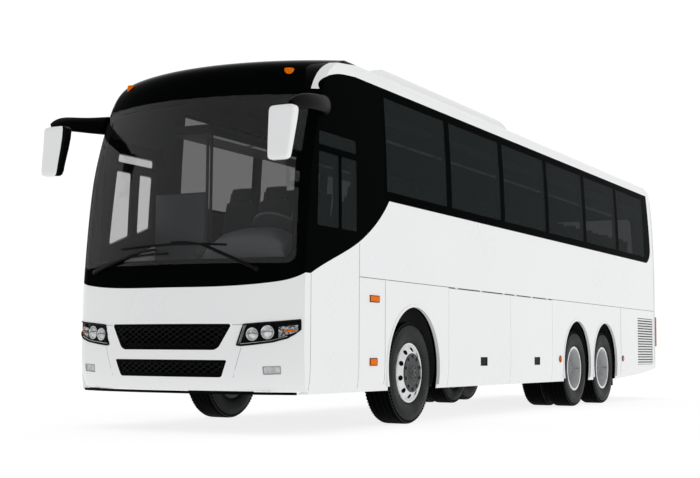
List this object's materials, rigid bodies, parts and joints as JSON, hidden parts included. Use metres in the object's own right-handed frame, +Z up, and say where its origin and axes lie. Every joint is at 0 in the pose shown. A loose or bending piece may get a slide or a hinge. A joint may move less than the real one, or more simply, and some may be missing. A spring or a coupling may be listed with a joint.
{
  "type": "touring coach bus",
  "caption": "Long three-axle touring coach with a black glazed band, a high windscreen, side luggage doors and a hinged entrance door.",
  "frame": {"origin": "on the ground under the middle of the coach, mirrors included", "axes": "+Z up, -Y towards the front, +X towards the driver's side"},
  "size_m": [2.88, 12.57, 3.868],
  "materials": {
    "white_paint": "high-gloss white two-layer paint",
    "black_paint": "high-gloss black paint",
    "tinted_glass": "dark tinted safety glass",
    "screen_glass": "lightly tinted laminated glass",
    "grille_mesh": "satin black moulded mesh",
    "lamp_units": "clear lamp units",
    "amber_lens": "amber and red lamp lenses",
    "frame_steel": "satin black chassis paint",
    "floor_sheet": "dark grey floor covering",
    "housing_plastic": "black moulded liner",
    "axle_iron": "painted cast iron",
    "engine_iron": "bare cast iron",
    "tyre_rubber": "moulded tread rubber",
    "wheel_steel": "silver wheel finish",
    "cabin_plastic": "grained dark grey moulding",
    "seat_fabric": "dark grey woven cover"
  },
  "bodies": {
    "coach_body": {"frame_rails": "frame_steel", "cross_members": "frame_steel", "floors": "floor_sheet", "wheel_housings": "housing_plastic", "skirt_panels": "white_paint", "waist_panels": "white_paint", "window_frames": "black_paint", "window_glass": "tinted_glass", "roof_shell": "white_paint", "roof_pod": "white_paint", "front_cap": "black_paint", "windscreen_surround": "black_paint", "windscreen": "screen_glass", "front_panel": "white_paint", "front_bumper": "white_paint", "front_grilles": "grille_mesh", "headlamps": "lamp_units", "rear_wall": "white_paint", "rear_bumper": "white_paint", "lamps": "amber_lens", "engine_block": "engine_iron", "mirrors": "white_paint", "mirror_arms": "black_paint", "wipers": "housing_plastic", "axle_beams": "axle_iron", "dashboard": "cabin_plastic", "seats": "seat_fabric", "luggage_racks": "cabin_plastic"},
    "luggage_door_front_left_leaf": {"luggage_door_front_left": "white_paint"},
    "luggage_door_rear_left_leaf": {"luggage_door_rear_left": "white_paint"},
    "luggage_door_front_right_leaf": {"luggage_door_front_right": "white_paint"},
    "luggage_door_rear_right_leaf": {"luggage_door_rear_right": "white_paint"},
    "entrance_leaf": {"entrance_door": "white_paint", "entrance_door_glass": "tinted_glass"},
    "engine_cover_leaf": {"engine_cover": "white_paint"},
    "steer_left": {"knuckle_left": "axle_iron"},
    "steer_right": {"knuckle_right": "axle_iron"},
    "wheel_front_left": {"tyre_front_left": "tyre_rubber", "rim_front_left": "wheel_steel"},
    "wheel_drive_left": {"tyre_drive_left": "tyre_rubber", "rim_drive_left": "wheel_steel"},
    "wheel_tag_left": {"tyre_tag_left": "tyre_rubber", "rim_tag_left": "wheel_steel"},
    "wheel_front_right": {"tyre_front_right": "tyre_rubber", "rim_front_right": "wheel_steel"},
    "wheel_drive_right": {"tyre_drive_right": "tyre_rubber", "rim_drive_right": "wheel_steel"},
    "wheel_tag_right": {"tyre_tag_right": "tyre_rubber", "rim_tag_right": "wheel_steel"}
  },
  "joints": [
    {"name": "luggage_door_front_left_hinge", "type": "hinge", "parent": "coach_body", "child": "luggage_door_front_left_leaf", "pos_m": [1.267, -1.685, 1.44], "axis": [0, -1, 0], "range_deg": [0, 80]},
    {"name": "luggage_door_rear_left_hinge", "type": "hinge", "parent": "coach_body", "child": "luggage_door_rear_left_leaf", "pos_m": [1.267, 0.024, 1.44], "axis": [0, -1, 0], "range_deg": [0, 80]},
    {"name": "luggage_door_front_right_hinge", "type": "hinge", "parent": "coach_body", "child": "luggage_door_front_right_leaf", "pos_m": [-1.267, -1.685, 1.44], "axis": [0, 1, 0], "range_deg": [0, 80]},
    {"name": "luggage_door_rear_right_hinge", "type": "hinge", "parent": "coach_body", "child": "luggage_door_rear_right_leaf", "pos_m": [-1.267, 0.024, 1.44], "axis": [0, 1, 0], "range_deg": [0, 80]},
    {"name": "entrance_door_hinge", "type": "hinge", "parent": "coach_body", "child": "entrance_leaf", "pos_m": [-1.267, -5.479, 1.26], "axis": [0, 0, 1], "range_deg": [0, 85]},
    {"name": "engine_cover_hinge", "type": "hinge", "parent": "coach_body", "child": "engine_cover_leaf", "pos_m": [0, 6.275, 1.766], "axis": [1, 0, 0], "range_deg": [0, 75]},
    {"name": "steering_left", "type": "hinge", "parent": "coach_body", "child": "steer_left", "pos_m": [0.93, -3.5, 0.522], "axis": [0, 0, 1], "range_deg": [-40, 40]},
    {"name": "steering_right", "type": "hinge", "parent": "coach_body", "child": "steer_right", "pos_m": [-0.93, -3.5, 0.522], "axis": [0, 0, 1], "range_deg": [-40, 40]},
    {"name": "wheel_front_left_spin", "type": "hinge", "parent": "steer_left", "child": "wheel_front_left", "pos_m": [1.0805, -3.5, 0.522], "axis": [1, 0, 0], "continuous": true},
    {"name": "wheel_drive_left_spin", "type": "hinge", "parent": "coach_body", "child": "wheel_drive_left", "pos_m": [0.893, 1.9, 0.522], "axis": [1, 0, 0], "continuous": true},
    {"name": "wheel_tag_left_spin", "type": "hinge", "parent": "coach_body", "child": "wheel_tag_left", "pos_m": [1.0805, 3.22, 0.522], "axis": [1, 0, 0], "continuous": true},
    {"name": "wheel_front_right_spin", "type": "hinge", "parent": "steer_right", "child": "wheel_front_right", "pos_m": [-1.0805, -3.5, 0.522], "axis": [1, 0, 0], "continuous": true},
    {"name": "wheel_drive_right_spin", "type": "hinge", "parent": "coach_body", "child": "wheel_drive_right", "pos_m": [-0.893, 1.9, 0.522], "axis": [1, 0, 0], "continuous": true},
    {"name": "wheel_tag_right_spin", "type": "hinge", "parent": "coach_body", "child": "wheel_tag_right", "pos_m": [-1.0805, 3.22, 0.522], "axis": [1, 0, 0], "continuous": true}
  ],
  "couplings": [
    {"joint": "steering_right", "follows": "steering_left", "ratio": 1}
  ]
}
